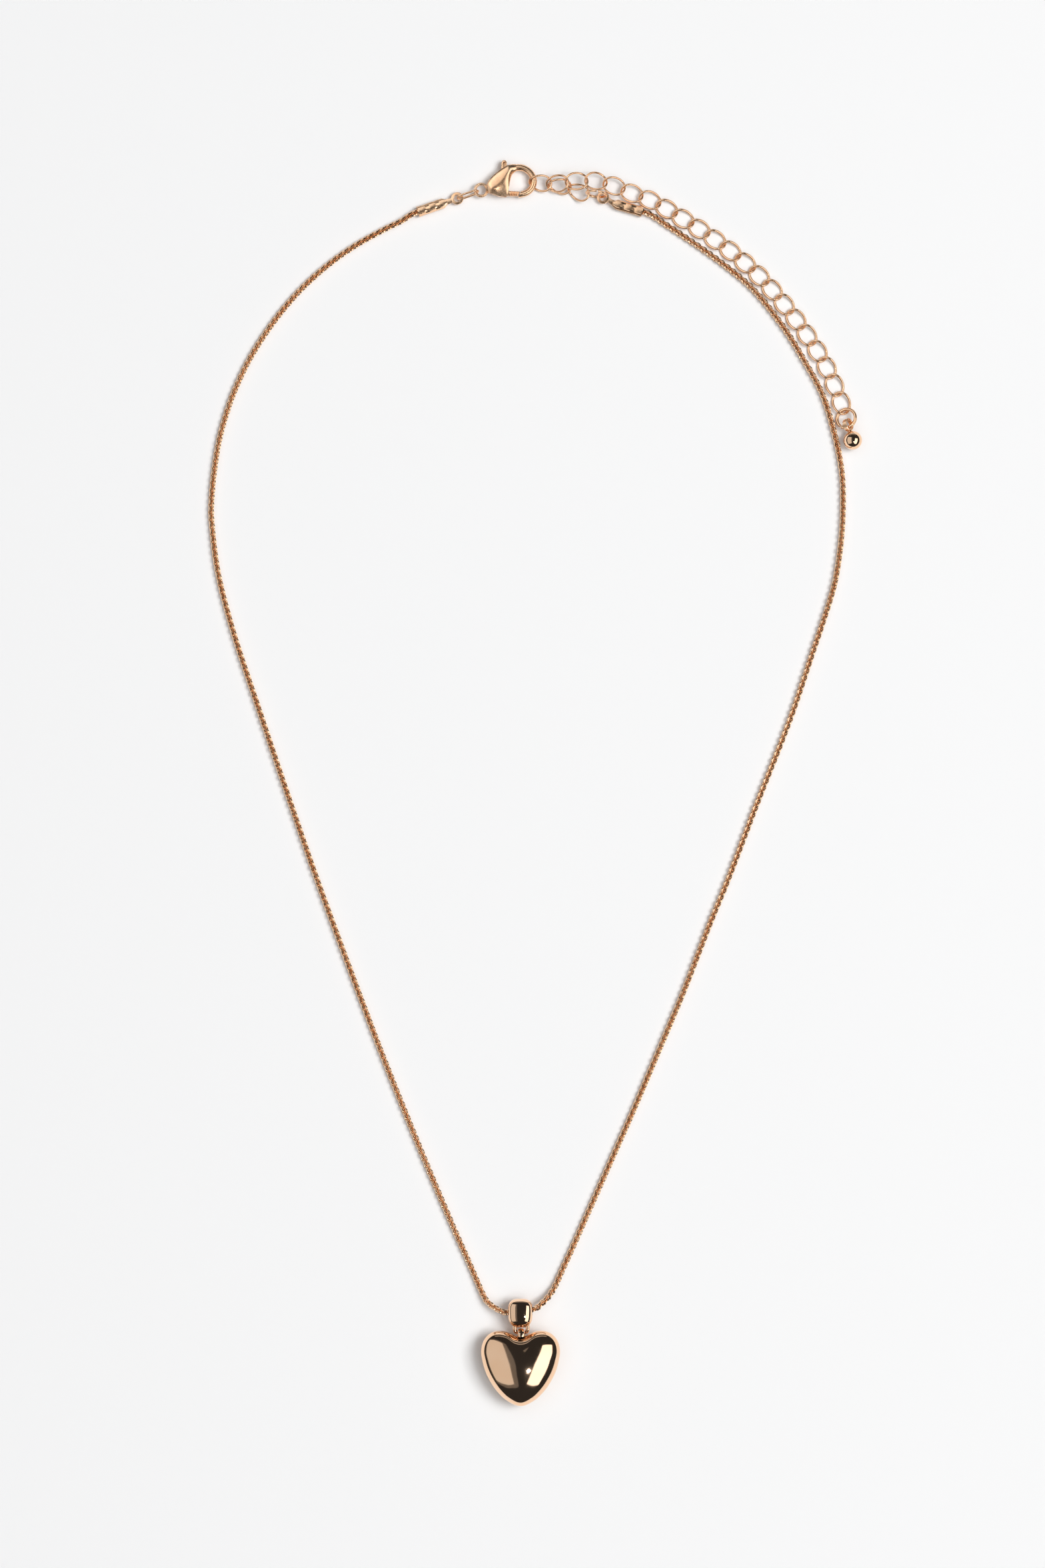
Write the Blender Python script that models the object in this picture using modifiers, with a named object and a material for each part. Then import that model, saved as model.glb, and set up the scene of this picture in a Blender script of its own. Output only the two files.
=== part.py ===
"""A fine gold-coloured pendant necklace, clasped shut and laid flat on a table.

The table is z = 0, the clasp lies at +Y and the heart at -Y.  The origin is on the
table, under the middle of the box around everything but the fine chain.  A puffed
heart hangs from a cushion-shaped bail on a fine chain.  Each end of the chain is
crimped in a cord end: one carries the lobster clasp, the other a 70 mm extender, and
the clasp is hooked on the extender's third link.
"""

import math

import bmesh
import bpy
from mathutils import Matrix, Vector

MM = 0.001

# Fine chain: two runs, each from a cord end to the middle of the bail.  A run is kept
# as a plain round solid as wide as its rings.  The routes' points are in millimetres.
CHAIN_WIDTH = 0.97 * MM
CHAIN_STEP = 2.4 * MM
CHAIN_SIDES_LEVEL = 2
LEFT_ROUTE = [
    (-31.73, 86.09, 0.70), (-34.00, 85.31, 0.70), (-35.70, 84.25, 0.58),
    (-38.43, 82.90, 0.50), (-42.56, 80.60, 0.50), (-46.47, 77.85, 0.50),
    (-50.14, 74.63, 0.50), (-53.24, 71.23, 0.50), (-56.11, 67.40, 0.50),
    (-58.64, 63.27, 0.50), (-60.55, 59.27, 0.50), (-61.80, 55.92, 0.50),
    (-63.05, 51.46, 0.50), (-63.82, 46.69, 0.50), (-64.20, 42.46, 0.50),
    (-64.18, 38.96, 0.50), (-63.23, 31.38, 0.50), (-60.90, 22.41, 0.50),
    (-57.20, 11.24, 0.50), (-52.47, -2.77, 0.50), (-47.76, -16.30, 0.50),
    (-41.21, -33.99, 0.50), (-37.45, -43.77, 0.50), (-32.90, -55.01, 0.50),
    (-28.61, -65.19, 0.50), (-25.67, -71.84, 0.50), (-24.24, -75.13, 0.62),
    (-23.28, -77.17, 0.90), (-22.56, -78.09, 1.20), (-21.41, -78.82, 1.72),
    (-20.33, -79.26, 2.16), (-19.30, -79.25, 2.30), (-18.05, -79.09, 2.30),
]
RIGHT_ROUTE = [
    (-17.75, -79.05, 2.30), (-16.60, -78.92, 2.30), (-15.55, -78.66, 2.16),
    (-14.71, -77.98, 1.80), (-13.82, -77.15, 1.34), (-13.12, -76.19, 0.98),
    (-12.55, -75.17, 0.74), (-11.53, -72.88, 0.53), (-10.00, -69.54, 0.50),
    (-7.94, -64.90, 0.50), (-4.26, -56.61, 0.50), (-0.73, -48.64, 0.50),
    (4.02, -37.44, 0.50), (6.78, -30.83, 0.50), (10.59, -20.99, 0.50),
    (13.40, -14.10, 0.50), (17.48, -3.38, 0.50), (22.36, 9.05, 0.50),
    (25.83, 19.23, 0.50), (28.74, 28.07, 0.50), (29.75, 32.80, 0.50),
    (30.31, 37.64, 0.50), (30.49, 42.51, 0.50), (30.25, 46.96, 0.50),
    (29.27, 52.00, 0.50), (27.48, 57.98, 0.50), (24.87, 62.93, 0.50),
    (21.55, 68.29, 0.50), (16.96, 74.00, 0.50), (11.86, 78.24, 0.50),
    (6.76, 81.81, 0.50), (3.98, 83.63, 0.52), (2.40, 84.70, 0.62),
    (1.25, 85.34, 0.70), (-1.06, 86.00, 0.70),
]

# Puffed heart: its outline is a radius (mm) for each angle (degrees) round from the
# notch to the tip, the same on both sides.
HEART_AT = Vector((-17.90, -87.14, 2.80)) * MM
HEART_OUTLINE = [
    (0, 4.25), (12, 4.60), (26, 5.72), (40, 6.50), (54, 6.68), (68, 6.37),
    (84, 5.75), (102, 5.32), (120, 5.15), (140, 5.28), (160, 5.68), (180, 6.09),
]
HEART_THICKNESS = 5.6 * MM
HEART_AROUND = 44
HEART_LAYERS = 16

# Pendant ring: a flat band standing on edge between the bail's tab and the heart's loop.
RING_AT = Vector((-17.80, -82.63, 2.45)) * MM
RING_OUTER = 1.0 * MM
RING_INNER = 0.6 * MM
RING_BAND = 0.8 * MM
LOOP_WIRE = 0.44 * MM
TAB_BAR = Vector((-17.80, -82.32, 2.30)) * MM
TAB_WIDTH = 1.86 * MM
HEART_BAR = Vector((-17.80, -82.94, 2.60)) * MM
HEART_BAR_WIDTH = 1.56 * MM
HEART_SLOT_RADIUS = 1.35 * MM
HEART_SLOT_WIDTH = 1.1 * MM

# Bail: a cushion-shaped bead, narrower below, bored for the chain.
BAIL_AT = Vector((-17.93, -79.33, 2.30)) * MM
BAIL_SIZE = Vector((3.75, 4.24, 3.4)) * MM
BAIL_FOOT = 0.86
BAIL_ROUNDING = 1.05 * MM
BORE_AT = Vector((-17.93, -79.07, 2.30)) * MM
BORE_RADIUS = 0.95 * MM
BORE_TURN = math.radians(6.8)

# Cord ends: a folded crimp, a neck and a flat loop.  Each is drawn with its loop at its
# own origin and its mouth towards +X.
CORD_END_HEIGHT = 1.4 * MM
CORD_END_WIDTH = 1.5 * MM
CORD_END_START = 1.65 * MM
CORD_END_MOUTH = 6.25 * MM
CORD_END_POCKET = 1.9 * MM
POCKET_RADIUS = 0.55 * MM
CORD_END_LOOP = 0.93 * MM
CORD_END_HOLE = 0.52 * MM
CORD_END_SHEET = 0.34 * MM
NECK_WIDTH = 0.8 * MM
LEFT_END_AT = Vector((-27.38, 87.59, 0.70)) * MM
LEFT_END_TURN = math.radians(199.0)
LEFT_END_OFFSET = 0.0
RIGHT_END_AT = Vector((-5.51, 87.72, 0.70)) * MM
RIGHT_END_TURN = math.radians(-15.9)
RIGHT_END_OFFSET = -0.44 * MM

# Clasp, drawn in millimetres from the middle of its base ring, as it lies.
CLASP_AT = Vector((-23.79, 88.81, 1.0)) * MM
CLASP_THICKNESS = 2.0 * MM
CLASP_ROUNDING = 0.45 * MM
CLASP_OUTLINE = [
    (0.75, 0.55), (0.95, 1.15), (1.50, 1.85), (2.20, 2.50), (3.00, 3.10), (3.90, 3.62),
    (4.70, 3.80), (5.10, 3.55), (5.05, 2.75), (4.72, 2.42), (4.42, 1.75), (4.22, 0.85),
    (4.08, 0.00), (3.94, -0.45), (3.86, -0.98), (3.10, -1.03), (2.20, -0.80),
    (1.50, -0.50), (0.85, -0.15),
]
HOOK_RADIUS = 0.48 * MM
HOOK_ROUTE = [
    (4.20, 3.02), (4.70, 3.22), (5.40, 3.38), (6.20, 3.33), (6.95, 2.98), (7.50, 2.42),
    (7.84, 1.72), (7.86, 1.00), (7.62, 0.34), (7.14, -0.18), (6.62, -0.48), (6.10, -0.62),
]
BASE_RING_RADIUS = 0.925 * MM
BASE_RING_WIRE = 0.35 * MM
LEVER_THICKNESS = 0.9 * MM
SLOT_THICKNESS = 1.0 * MM
LEVER_OUTLINE = [
    (2.30, 1.10), (2.62, 1.72), (2.92, 2.60), (3.02, 3.60), (3.10, 4.15), (3.45, 4.45),
    (3.82, 4.15), (3.92, 3.30), (3.62, 2.30), (3.52, 1.50), (3.62, 0.70), (3.96, -0.16),
    (5.80, -0.24), (5.56, -0.93), (3.70, -0.90), (2.85, -0.10), (2.36, 0.50),
]
SLOT_OUTLINE = [
    (2.15, 1.00), (2.10, 2.90), (1.90, 4.20), (4.05, 4.60), (4.05, 3.30), (3.90, 2.40),
    (4.30, 1.00), (6.60, 1.20), (6.60, 0.30), (5.94, -0.24), (5.70, -1.20),
    (3.60, -1.20), (2.70, -0.20), (2.20, 0.45),
]
PIVOT = Vector((2.90, 1.05))
RIVET_RADIUS = 0.25 * MM
RIVET_CLEARANCE = 0.04 * MM
RIVET_INSET = 0.05 * MM
SPRING_RADIUS = 0.42 * MM
SPRING_WIRE = 0.12 * MM
SPRING_TURNS = 1.75
SPRING_WELL = 0.56 * MM
SPRING_WELL_DEPTH = 0.45 * MM

# Clasp link: a long link standing on edge between the left cord end and the clasp.
CLASP_LINK_AT = Vector((-25.78, 88.13, 0.86)) * MM
CLASP_LINK_HALF = Vector((1.60, 0.64)) * MM
CLASP_LINK_WIRE = 0.32 * MM
CLASP_LINK_TURN = math.radians(18.8)
CLASP_LINK_RISE = math.radians(4.5)
CLASP_LINK_ROLL = math.radians(70.0)

LINK_PIVOT_AT = Vector((-27.00, 87.72, 0.70)) * MM
CLASP_PIVOT_AT = Vector((-24.40, 88.61, 1.00)) * MM
JUMP_PIVOT_AT = Vector((-5.51, 87.72, 0.70)) * MM

# Extender: oval wire links, twisted like a saddle so that each lies flat on the next.
LINK_LENGTH = 3.32 * MM
LINK_WIDTH = 2.48 * MM
LINK_TWIST = 0.30 * MM
LINK_WIRE = 0.32 * MM
LINK_PITCH = 2.86 * MM
LINK_POINTS = 20
WIRE_SIDES_LEVEL = 1
TAIL_LINKS = 15

# Extender links near the clasp, where two rows lie side by side: place (mm), then how
# far each is turned about Z, raised at its far end and rolled about its length (degrees).
NEAR_LINKS = {
    "extender_link_01": ((-9.23, 88.50, 1.12), (-21.0, 11.0, 32.5)),
    "extender_link_02": ((-12.01, 89.42, 1.06), (-12.9, -5.3, 39.8)),
    "extender_link_03": ((-14.94, 89.86, 1.06), (-7.7, 2.4, 29.7)),
    "extender_link_04": ((-12.36, 89.72, 1.47), (8.3, 17.2, 12.7)),
    "extender_link_05": ((-9.51, 90.06, 1.85), (1.6, -4.8, 3.6)),
    "extender_link_06": ((-6.58, 90.12, 1.50), (-9.0, -11.7, -2.6)),
    "extender_link_07": ((-3.87, 89.42, 1.17), (-19.5, -4.6, 6.1)),
    "extender_link_08": ((-1.18, 88.35, 0.86), (-21.0, -5.3, 1.2)),
    "extender_link_09": ((1.53, 87.36, 0.62), (-23.9, -6.1, 0.1)),
}
JUMP_RING_AT = Vector((-6.58, 88.17, 1.61)) * MM
JUMP_RING_TURN = (-2.17, 28.75, 77.19)
JUMP_RING_RADIUS = 1.45 * MM
JUMP_RING_WIRE = 0.38 * MM
JUMP_RING_GAP = (50.0, 60.0)

# The tail's other links stand one pitch apart along this route (mm).
TAIL_ROUTE = [
    (4.06, 86.02, 0.48), (8.85, 83.08, 0.47), (13.52, 79.80, 0.47),
    (17.90, 76.02, 0.47), (21.63, 71.78, 0.47), (25.17, 67.01, 0.47),
    (28.06, 62.22, 0.47), (30.20, 57.00, 0.50), (30.96, 54.30, 0.50),
]

# Tail's end: a heavier open ring, a flat-band drop loop and a ball.
END_RING_AT = Vector((30.92, 54.59, 0.94)) * MM
END_RING_TURN = (-92.2, 13.1, 24.0)
END_RING_RADIUS = 1.45 * MM
END_RING_WIRE = 0.50 * MM
END_RING_GAP = (-40.0, -30.0)
DROP_LOOP_AT = Vector((31.15, 53.60, 1.41)) * MM
DROP_LOOP_TURN = (-75.2, 2.9, -43.6)
DROP_LOOP_HALF = Vector((0.95, 0.82)) * MM
DROP_LOOP_BAND = 0.20 * MM
DROP_LOOP_WIDTH = 0.6 * MM
BALL_AT = Vector((31.86, 51.28, 1.40)) * MM
BALL_RADIUS = 1.40 * MM

GOLD = (0.90, 0.56, 0.33)
DEEP_GOLD = (0.86, 0.50, 0.27)
STEEL = (0.62, 0.62, 0.64)


# ---------------------------------------------------------------- scene and materials

def clear_scene():
    for obj in list(bpy.data.objects):
        bpy.data.objects.remove(obj, do_unlink=True)


def new_collection(name):
    collection = bpy.data.collections.new(name)
    bpy.context.scene.collection.children.link(collection)
    return collection


def metal(name, colour, roughness):
    material = bpy.data.materials.new(name)
    material.use_nodes = True
    shader = material.node_tree.nodes["Principled BSDF"]
    shader.inputs["Base Color"].default_value = (*colour, 1.0)
    shader.inputs["Metallic"].default_value = 1.0
    shader.inputs["Roughness"].default_value = roughness
    return material


def add_object(name, data, material=None, collection=None):
    obj = bpy.data.objects.new(name, data)
    (collection or PARTS).objects.link(obj)
    if material:
        data.materials.clear()
        data.materials.append(material)
    return obj


def add_mesh(name, bm, material=None, collection=None):
    mesh = bpy.data.meshes.new(name)
    bmesh.ops.recalc_face_normals(bm, faces=bm.faces)
    bm.to_mesh(mesh)
    bm.free()
    mesh.shade_smooth()
    mesh.set_sharp_from_angle(angle=math.radians(40.0))
    return add_object(name, mesh, material, collection)


def turned(yaw, rise=0.0, roll=0.0):
    """Rotation of a piece drawn along +X: turned about Z, its +X end raised, rolled."""
    turn = Matrix.Rotation(yaw, 4, "Z")
    lift = Matrix.Rotation(-rise, 4, "Y")
    return turn @ lift @ Matrix.Rotation(roll, 4, "X")


def turned_degrees(angles):
    return turned(*(math.radians(angle) for angle in angles))


# ---------------------------------------------------------------- curves

def smooth_curve(points, steps=10):
    """Points of a Catmull-Rom curve through the given points."""
    points = [Vector(p) for p in points]
    ends = [2 * points[0] - points[1]] + points + [2 * points[-1] - points[-2]]
    out = []
    for a, b, c, d in zip(ends, ends[1:], ends[2:], ends[3:]):
        for k in range(steps):
            t = k / steps
            out.append(0.5 * (2 * b + (c - a) * t + (2 * a - 5 * b + 4 * c - d) * t * t
                              + (3 * b - a - 3 * c + d) * t ** 3))
    out.append(points[-1])
    return out


def point_along(points, distance):
    """The point at a distance along a polyline."""
    for a, b in zip(points, points[1:]):
        step = (b - a).length
        if distance <= step:
            return a.lerp(b, distance / step)
        distance -= step
    return points[-1].copy()


def path_length(points):
    return sum((b - a).length for a, b in zip(points, points[1:]))


def wire(name, points, diameter, closed=False, level=WIRE_SIDES_LEVEL):
    """A round wire through the points, as curve data with filled caps."""
    curve = bpy.data.curves.new(name, "CURVE")
    curve.dimensions = "3D"
    curve.bevel_depth = diameter / 2
    curve.bevel_resolution = level
    curve.use_fill_caps = True
    spline = curve.splines.new("POLY")
    spline.points.add(len(points) - 1)
    for target, point in zip(spline.points, points):
        target.co = (*point, 1.0)
    spline.use_cyclic_u = closed
    return curve


def flat_plate(name, outlines, thickness):
    """A flat plate with the given outlines, the first outside and the others holes."""
    curve = bpy.data.curves.new(name, "CURVE")
    curve.dimensions = "2D"
    curve.fill_mode = "BOTH"
    curve.extrude = thickness / 2
    for outline in outlines:
        spline = curve.splines.new("POLY")
        spline.points.add(len(outline) - 1)
        for target, (x, y) in zip(spline.points, outline):
            target.co = (x, y, 0.0, 1.0)
        spline.use_cyclic_u = True
    return curve


def oval(half_x, half_y, count=24, middle=(0.0, 0.0)):
    angles = [2 * math.pi * k / count for k in range(count)]
    return [(middle[0] + half_x * math.cos(a), middle[1] + half_y * math.sin(a))
            for a in angles]


def in_mm(points):
    return [tuple(value * MM for value in point) for point in points]


def to_mesh(obj):
    """Turns a curve object into a mesh object of the same name, its caps welded."""
    bpy.context.view_layer.update()
    evaluated = obj.evaluated_get(bpy.context.evaluated_depsgraph_get())
    mesh = bpy.data.meshes.new_from_object(evaluated)
    bm = bmesh.new()
    bm.from_mesh(mesh)
    bmesh.ops.remove_doubles(bm, verts=bm.verts, dist=0.002 * MM)
    bmesh.ops.recalc_face_normals(bm, faces=bm.faces)
    bm.to_mesh(mesh)
    bm.free()
    name = obj.name
    matrix = obj.matrix_world.copy()
    collection = obj.users_collection[0]
    bpy.data.objects.remove(obj, do_unlink=True)
    made = bpy.data.objects.new(name, mesh)
    made.matrix_world = matrix
    collection.objects.link(made)
    return made


# ---------------------------------------------------------------- cutting and joining

def guide(name, data, matrix=None):
    """A cutter, or a piece that is joined on to another, kept out of the model."""
    obj = add_object(name, data, None, CUTTERS)
    obj.matrix_world = matrix or Matrix()
    if obj.type == "CURVE":
        obj = to_mesh(obj)
    obj.hide_render = True
    obj.display_type = "WIRE"
    return obj


def cylinder(name, radius, length, matrix, sides=24):
    bm = bmesh.new()
    bmesh.ops.create_cone(bm, cap_ends=True, segments=sides, radius1=radius,
                          radius2=radius, depth=length)
    obj = add_mesh(name, bm, None, CUTTERS)
    obj.matrix_world = matrix
    obj.hide_render = True
    obj.display_type = "WIRE"
    return obj


def combine(obj, other, operation):
    modifier = obj.modifiers.new(operation.lower(), "BOOLEAN")
    modifier.operation = operation
    modifier.solver = "EXACT"
    modifier.object = other


def along_x(place, turn=0.0):
    """Matrix that lays a cylinder along X, turned about Z, at a place."""
    return (Matrix.Translation(place) @ Matrix.Rotation(turn, 4, "Z")
            @ Matrix.Rotation(math.radians(90.0), 4, "Y"))


# ---------------------------------------------------------------- joints

def pivot(name, place, parent=None):
    """An empty on a joint's axis.  Its children keep their world places."""
    empty = bpy.data.objects.new(name, None)
    empty.empty_display_size = 1.0 * MM
    PARTS.objects.link(empty)
    empty.location = place
    hang(empty, parent)
    return empty


def hang(obj, parent):
    if parent:
        obj.parent = parent
        obj.matrix_parent_inverse = Matrix.Translation(-PIVOT_PLACES[parent.name])
    if obj.type == "EMPTY":
        PIVOT_PLACES[obj.name] = obj.location.copy()
    return obj


# ---------------------------------------------------------------- fine chain

def build_chain(name, route):
    points = smooth_curve(in_mm(route))
    count = round(path_length(points) / CHAIN_STEP)
    step = path_length(points) / count
    spaced = [point_along(points, step * k) for k in range(count)] + [points[-1]]
    return add_object(name, wire(name, spaced, CHAIN_WIDTH, level=CHAIN_SIDES_LEVEL),
                      CHAIN_GOLD)


# ---------------------------------------------------------------- heart, ring and bail

def heart_radius(angle):
    """Outline radius at an angle from the notch, read smoothly between the points."""
    angle = abs(math.degrees(angle))
    table = HEART_OUTLINE
    before = [(-table[1][0], table[1][1])]
    after = [(360 - table[-2][0], table[-2][1])]
    points = before + table + after
    for (a0, r0), (a1, r1), (a2, r2), (a3, r3) in zip(points, points[1:], points[2:],
                                                      points[3:]):
        if a1 <= angle <= a2:
            t = (angle - a1) / (a2 - a1)
            slope1 = (r2 - r0) / (a2 - a0) * (a2 - a1)
            slope2 = (r3 - r1) / (a3 - a1) * (a2 - a1)
            bend = 2 * (r1 - r2) + slope1 + slope2
            return (r1 + slope1 * t + (3 * (r2 - r1) - 2 * slope1 - slope2) * t * t
                    + bend * t ** 3) * MM
    return table[-1][1] * MM


def build_heart():
    bm = bmesh.new()
    bmesh.ops.create_uvsphere(bm, u_segments=HEART_AROUND, v_segments=HEART_LAYERS,
                              radius=1.0)
    for vert in bm.verts:
        x, y, z = vert.co
        out = math.hypot(x, y)
        angle = math.atan2(x, y) if out > 1e-6 else 0.0
        radius = heart_radius(angle) * out
        vert.co = (radius * math.sin(angle), radius * math.cos(angle),
                   z * HEART_THICKNESS / 2)
    heart = add_mesh("heart", bm, HEART_GOLD)
    heart.location = HEART_AT
    slot = cylinder("ring_slot", HEART_SLOT_RADIUS, HEART_SLOT_WIDTH, along_x(RING_AT))
    combine(heart, slot, "DIFFERENCE")
    combine(heart, wire_loop("heart_loop", HEART_BAR, HEART_BAR_WIDTH, -1.5 * MM), "UNION")
    return heart


def wire_loop(name, bar, width, depth):
    """A U of wire: a bar along X at a place, its legs running along Y by depth."""
    side = width / 2
    corner = 0.25 * width * (1 if depth < 0 else -1)
    points = [(-side, depth, 0), (-side, -corner, 0), (-0.6 * side, 0, 0),
              (0.6 * side, 0, 0), (side, -corner, 0), (side, depth, 0)]
    return guide(name, wire(name, points, LOOP_WIRE, level=CHAIN_SIDES_LEVEL),
                 Matrix.Translation(bar))


def build_pendant_ring():
    outline = [oval(RING_OUTER, RING_OUTER), oval(RING_INNER, RING_INNER, 20)]
    ring = add_object("pendant_ring", flat_plate("pendant_ring", outline, RING_BAND),
                      BAIL_GOLD)
    ring.matrix_world = along_x(RING_AT)
    return ring


def build_bail():
    bm = bmesh.new()
    bmesh.ops.create_cube(bm, size=1.0)
    for vert in bm.verts:
        foot = BAIL_FOOT if vert.co.y < 0 else 1.0
        vert.co = Vector((vert.co.x * foot * BAIL_SIZE.x, vert.co.y * BAIL_SIZE.y,
                          vert.co.z * foot * BAIL_SIZE.z))
    bail = add_mesh("bail", bm, BAIL_GOLD)
    bail.location = BAIL_AT
    rounding = bail.modifiers.new("rounding", "BEVEL")
    rounding.width = BAIL_ROUNDING
    rounding.segments = 4
    bore = cylinder("chain_bore", BORE_RADIUS, 2 * BAIL_SIZE.x, along_x(BORE_AT, BORE_TURN))
    combine(bail, wire_loop("bail_tab", TAB_BAR, TAB_WIDTH, 1.4 * MM), "UNION")
    combine(bail, bore, "DIFFERENCE")
    return bail


# ---------------------------------------------------------------- cord ends

def build_cord_end(name, place, turn, offset):
    """A crimp from its start to its mouth, a neck, and a flat loop round the origin."""
    length = CORD_END_MOUTH - CORD_END_START
    middle = Vector(((CORD_END_START + CORD_END_MOUTH) / 2, offset, 0))
    bm = bmesh.new()
    bmesh.ops.create_cube(bm, size=1.0)
    bmesh.ops.scale(bm, vec=(length, CORD_END_WIDTH, CORD_END_HEIGHT), verts=bm.verts)
    bmesh.ops.translate(bm, vec=middle, verts=bm.verts)
    end = add_mesh(name, bm, CORD_END_GOLD)
    end.matrix_world = Matrix.Translation(place) @ turned(turn)
    rounding = end.modifiers.new("rounding", "BEVEL")
    rounding.width = 0.25 * MM
    rounding.segments = 2
    neck = [(-0.1 * MM, 0.9 * NECK_WIDTH / 2), (0.5 * MM, 0.95 * NECK_WIDTH / 2),
            (CORD_END_START + 0.5 * MM, offset + 0.9 * NECK_WIDTH / 2),
            (CORD_END_START + 0.5 * MM, offset - 0.9 * NECK_WIDTH / 2),
            (0.5 * MM, -0.95 * NECK_WIDTH / 2), (-0.1 * MM, -0.9 * NECK_WIDTH / 2)]
    frame = end.matrix_world.copy()
    combine(end, guide(name + "_neck", flat_plate("neck", [neck], CORD_END_SHEET), frame),
            "UNION")
    disc = oval(CORD_END_LOOP, CORD_END_LOOP, 24)
    combine(end, guide(name + "_disc", flat_plate("disc", [disc], CORD_END_SHEET * 1.001),
                       frame), "UNION")
    hole = cylinder(name + "_hole", CORD_END_HOLE, 2 * CORD_END_SHEET, frame, sides=20)
    combine(end, hole, "DIFFERENCE")
    mouth = Vector((CORD_END_MOUTH, offset, 0))
    pocket = cylinder(name + "_pocket", POCKET_RADIUS, 2 * CORD_END_POCKET,
                      frame @ along_x(mouth), sides=16)
    combine(end, pocket, "DIFFERENCE")
    return end


# ---------------------------------------------------------------- clasp

def in_clasp(point, height=0.0):
    """A place in the clasp's drawing (mm from its base ring), in the world."""
    return CLASP_AT + Vector((point[0] * MM, point[1] * MM, height))


def build_clasp_body():
    plate = add_object("clasp_body", flat_plate("body", [in_mm(CLASP_OUTLINE)],
                                                CLASP_THICKNESS))
    plate.matrix_world = Matrix.Translation(CLASP_AT)
    body = to_mesh(plate)
    body.data.materials.append(CLASP_GOLD)
    rounding = body.modifiers.new("rounding", "BEVEL")
    rounding.width = CLASP_ROUNDING
    rounding.segments = 2
    rounding.angle_limit = math.radians(60.0)
    place = Matrix.Translation(CLASP_AT)
    hook_points = smooth_curve([(x * MM, y * MM, 0) for x, y in HOOK_ROUTE], steps=2)
    hook = wire("hook", hook_points, 2 * HOOK_RADIUS, level=CHAIN_SIDES_LEVEL + 1)
    ring_points = [(x, y, 0) for x, y in oval(BASE_RING_RADIUS, BASE_RING_RADIUS, 20)]
    ring = wire("base_ring", ring_points, BASE_RING_WIRE, True, CHAIN_SIDES_LEVEL)
    combine(body, guide("hook", hook, place), "UNION")
    combine(body, guide("base_ring", ring, place), "UNION")
    slot = flat_plate("slot", [in_mm(SLOT_OUTLINE)], SLOT_THICKNESS)
    combine(body, guide("lever_slot", slot, place), "DIFFERENCE")
    combine(body, cylinder("rivet_hole", RIVET_RADIUS + RIVET_CLEARANCE,
                           2 * CLASP_THICKNESS, Matrix.Translation(in_clasp(PIVOT)),
                           sides=16), "DIFFERENCE")
    return body


def build_clasp_lever():
    plate = add_object("clasp_lever", flat_plate("lever", [in_mm(LEVER_OUTLINE)],
                                                 LEVER_THICKNESS))
    plate.matrix_world = Matrix.Translation(CLASP_AT)
    lever = to_mesh(plate)
    lever.data.materials.append(CLASP_GOLD)
    hole = cylinder("lever_hole", RIVET_RADIUS + RIVET_CLEARANCE, 2 * CLASP_THICKNESS,
                    Matrix.Translation(in_clasp(PIVOT)), sides=16)
    combine(lever, hole, "DIFFERENCE")
    well_middle = in_clasp(PIVOT, -LEVER_THICKNESS / 2)
    well = cylinder("spring_well", SPRING_WELL, 2 * SPRING_WELL_DEPTH,
                    Matrix.Translation(well_middle), sides=20)
    combine(lever, well, "DIFFERENCE")
    return lever


def build_rivet():
    bm = bmesh.new()
    bmesh.ops.create_cone(bm, cap_ends=True, segments=16, radius1=RIVET_RADIUS,
                          radius2=RIVET_RADIUS, depth=CLASP_THICKNESS - 2 * RIVET_INSET)
    rivet = add_mesh("clasp_rivet", bm, CLASP_GOLD)
    rivet.location = in_clasp(PIVOT)
    return rivet


def build_clasp_spring():
    """A torsion coil round the rivet, in the lever's well."""
    rise = SPRING_WELL_DEPTH - 1.4 * SPRING_WIRE
    steps = int(SPRING_TURNS * 12)
    points = []
    for k in range(steps + 1):
        angle = 2 * math.pi * SPRING_TURNS * k / steps
        points.append((SPRING_RADIUS * math.cos(angle), SPRING_RADIUS * math.sin(angle),
                       rise * k / steps))
    spring = add_object("clasp_spring", wire("clasp_spring", points, SPRING_WIRE),
                        SPRING_STEEL)
    spring.location = in_clasp(PIVOT, -LEVER_THICKNESS / 2 + SPRING_WIRE / 2)
    return spring


def build_clasp_link():
    """A long link: two straight sides and two round ends."""
    half, round_end = CLASP_LINK_HALF
    straight = half - round_end
    points = []
    for k in range(LINK_POINTS):
        angle = 2 * math.pi * (k + 0.5) / LINK_POINTS
        side = math.copysign(straight, math.cos(angle))
        points.append((side + round_end * math.cos(angle), round_end * math.sin(angle), 0))
    link = add_object("clasp_link", wire("clasp_link", points, CLASP_LINK_WIRE, True),
                      LINK_GOLD)
    link.matrix_world = (Matrix.Translation(CLASP_LINK_AT)
                         @ turned(CLASP_LINK_TURN, CLASP_LINK_RISE, CLASP_LINK_ROLL))
    return link


# ---------------------------------------------------------------- extender

def link_points():
    """An oval link's centre line, twisted so that opposite quarters rise and fall."""
    points = []
    for k in range(LINK_POINTS):
        angle = 2 * math.pi * k / LINK_POINTS
        points.append((LINK_LENGTH / 2 * math.cos(angle), LINK_WIDTH / 2 * math.sin(angle),
                       -LINK_TWIST * math.sin(2 * angle)))
    return points


def open_ring(name, radius, diameter, gap):
    """A ring of wire, open between two angles in degrees, with flat cut ends."""
    start, end = gap[1], gap[0] + 360.0
    angles = [math.radians(start + (end - start) * k / LINK_POINTS)
              for k in range(LINK_POINTS + 1)]
    points = [(radius * math.cos(a), radius * math.sin(a), 0) for a in angles]
    return wire(name, points, diameter)


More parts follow.
